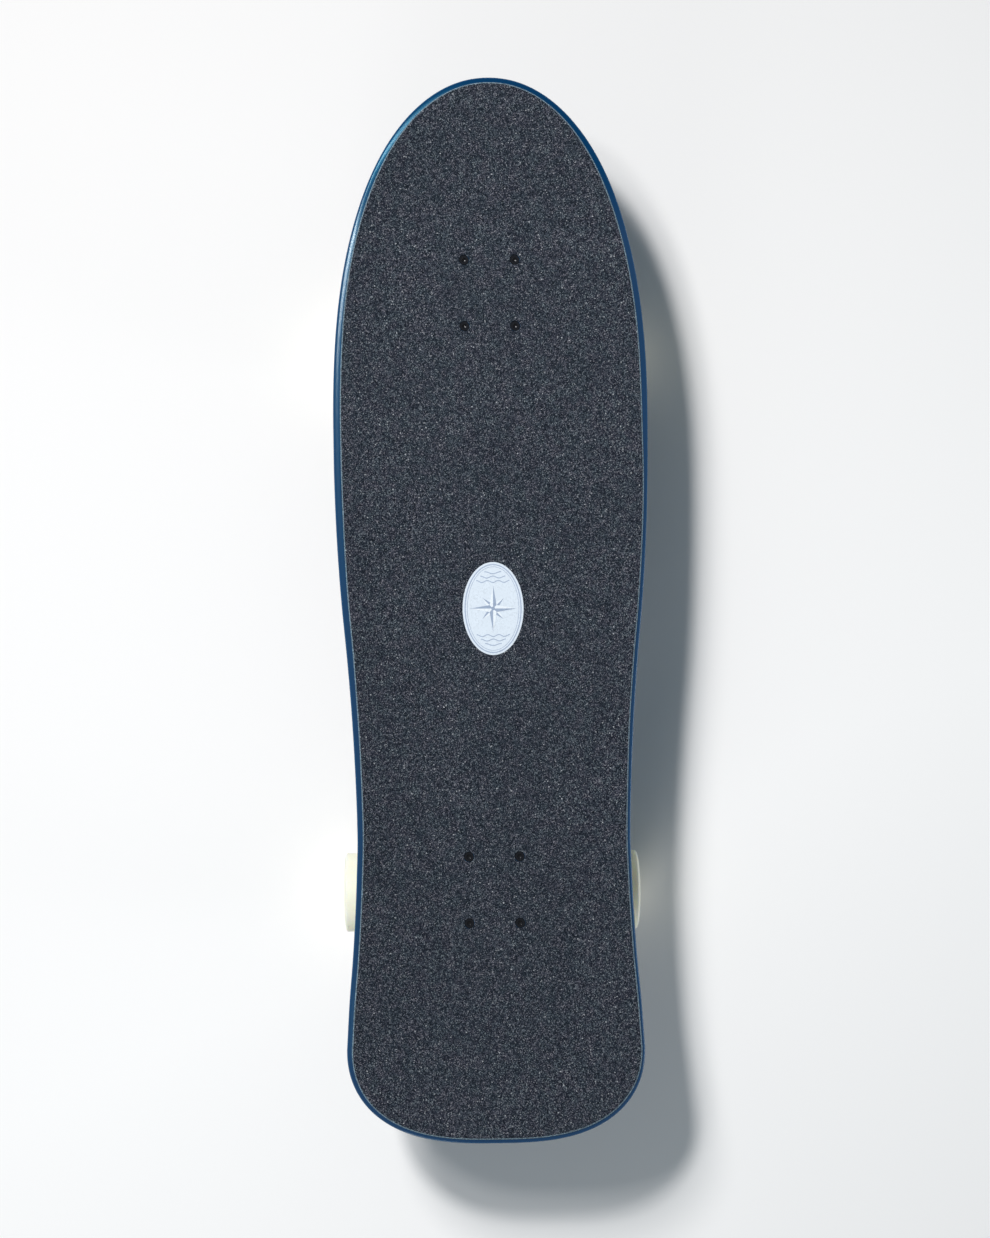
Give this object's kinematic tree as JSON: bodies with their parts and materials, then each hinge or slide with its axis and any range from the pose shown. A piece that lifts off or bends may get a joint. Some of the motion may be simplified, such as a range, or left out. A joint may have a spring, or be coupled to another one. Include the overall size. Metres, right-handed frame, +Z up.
{
  "type": "surf skateboard",
  "caption": "Surf skateboard: concave kick-tail deck with grip tape, a spring-centred swing-arm truck at the front, a standard truck at the rear and four soft wheels.",
  "frame": {"origin": "on the floor below the middle of the deck's length and width, with the board standing on its four wheels", "axes": "+X towards the nose along the board's length, +Y towards the board's left side seen from above with the nose ahead, +Z up"},
  "size_m": [0.86, 0.256, 0.1547],
  "materials": {
    "lacquer": "gloss blue lacquer on maple plies",
    "grip": "coarse mineral grit, charcoal",
    "urethane": "cast urethane, satin cream",
    "black_steel": "black oxide",
    "zinc": "bright zinc",
    "cast_alloy": "cast, tumbled, satin",
    "spring_steel": "oiled black",
    "bronze": "sintered",
    "bushing": "cast urethane, semi-matt",
    "riser": "moulded black",
    "bearing": "ground steel"
  },
  "bodies": {
    "board": {"deck": "lacquer", "grip_tape": "grip", "front_riser_pad": "riser", "rear_riser_pad": "riser", "front_deck_bolt_1": "black_steel", "front_deck_bolt_2": "black_steel", "front_deck_bolt_3": "black_steel", "front_deck_bolt_4": "black_steel", "rear_deck_bolt_1": "black_steel", "rear_deck_bolt_2": "black_steel", "rear_deck_bolt_3": "black_steel", "rear_deck_bolt_4": "black_steel", "front_deck_nut_1": "black_steel", "front_deck_nut_2": "black_steel", "front_deck_nut_3": "black_steel", "front_deck_nut_4": "black_steel", "rear_deck_nut_1": "black_steel", "rear_deck_nut_2": "black_steel", "rear_deck_nut_3": "black_steel", "rear_deck_nut_4": "black_steel", "front_base_plate": "cast_alloy", "swing_pivot_bolt": "zinc", "swing_pivot_nut": "zinc", "swing_thrust_washer": "bronze", "centring_spring": "spring_steel", "rear_base_plate": "cast_alloy", "rear_pivot_cup": "bushing", "rear_kingpin": "zinc", "rear_kingpin_nut": "zinc", "rear_board_side_bushing": "bushing", "rear_road_side_bushing": "bushing", "rear_cup_washer": "zinc"},
    "swing_arm_body": {"swing_arm": "cast_alloy", "swing_bush": "bronze", "front_pivot_cup": "bushing", "front_kingpin": "zinc", "front_kingpin_nut": "zinc", "front_board_side_bushing": "bushing", "front_road_side_bushing": "bushing", "front_cup_washer": "zinc"},
    "front_hanger_body": {"front_hanger": "cast_alloy", "front_axle": "zinc", "front_left_axle_nut": "zinc", "front_right_axle_nut": "zinc"},
    "rear_hanger_body": {"rear_hanger": "cast_alloy", "rear_axle": "zinc", "rear_left_axle_nut": "zinc", "rear_right_axle_nut": "zinc"},
    "front_left_wheel_body": {"front_left_wheel": "urethane", "front_left_inner_bearing": "bearing", "front_left_outer_bearing": "bearing"},
    "front_right_wheel_body": {"front_right_wheel": "urethane", "front_right_inner_bearing": "bearing", "front_right_outer_bearing": "bearing"},
    "rear_left_wheel_body": {"rear_left_wheel": "urethane", "rear_left_inner_bearing": "bearing", "rear_left_outer_bearing": "bearing"},
    "rear_right_wheel_body": {"rear_right_wheel": "urethane", "rear_right_inner_bearing": "bearing", "rear_right_outer_bearing": "bearing"}
  },
  "joints": [
    {"name": "front_swing", "type": "hinge", "parent": "board", "child": "swing_arm_body", "pos_m": [0.2662, 0, 0.08], "axis": [0, 0, 1], "range_deg": [-25, 25], "stiffness_Nm_per_rad": 20, "deforming": ["centring_spring"]},
    {"name": "front_tilt", "type": "hinge", "parent": "swing_arm_body", "child": "front_hanger_body", "pos_m": [0.1992, 0, 0.053], "axis": [0.809, 0, 0.5878], "range_deg": [-18, 18], "stiffness_Nm_per_rad": 60, "deforming": ["front_board_side_bushing", "front_road_side_bushing"]},
    {"name": "rear_tilt", "type": "hinge", "parent": "board", "child": "rear_hanger_body", "pos_m": [-0.2196, 0, 0.053], "axis": [-0.809, 0, 0.5878], "range_deg": [-18, 18], "stiffness_Nm_per_rad": 60, "deforming": ["rear_board_side_bushing", "rear_road_side_bushing"]},
    {"name": "front_left_wheel_spin", "type": "hinge", "parent": "front_hanger_body", "child": "front_left_wheel_body", "pos_m": [0.2182, 0.0986, 0.033], "axis": [0, 1, 0], "continuous": true},
    {"name": "front_right_wheel_spin", "type": "hinge", "parent": "front_hanger_body", "child": "front_right_wheel_body", "pos_m": [0.2182, -0.0986, 0.033], "axis": [0, 1, 0], "continuous": true},
    {"name": "rear_left_wheel_spin", "type": "hinge", "parent": "rear_hanger_body", "child": "rear_left_wheel_body", "pos_m": [-0.2386, 0.0986, 0.033], "axis": [0, 1, 0], "continuous": true},
    {"name": "rear_right_wheel_spin", "type": "hinge", "parent": "rear_hanger_body", "child": "rear_right_wheel_body", "pos_m": [-0.2386, -0.0986, 0.033], "axis": [0, 1, 0], "continuous": true}
  ]
}
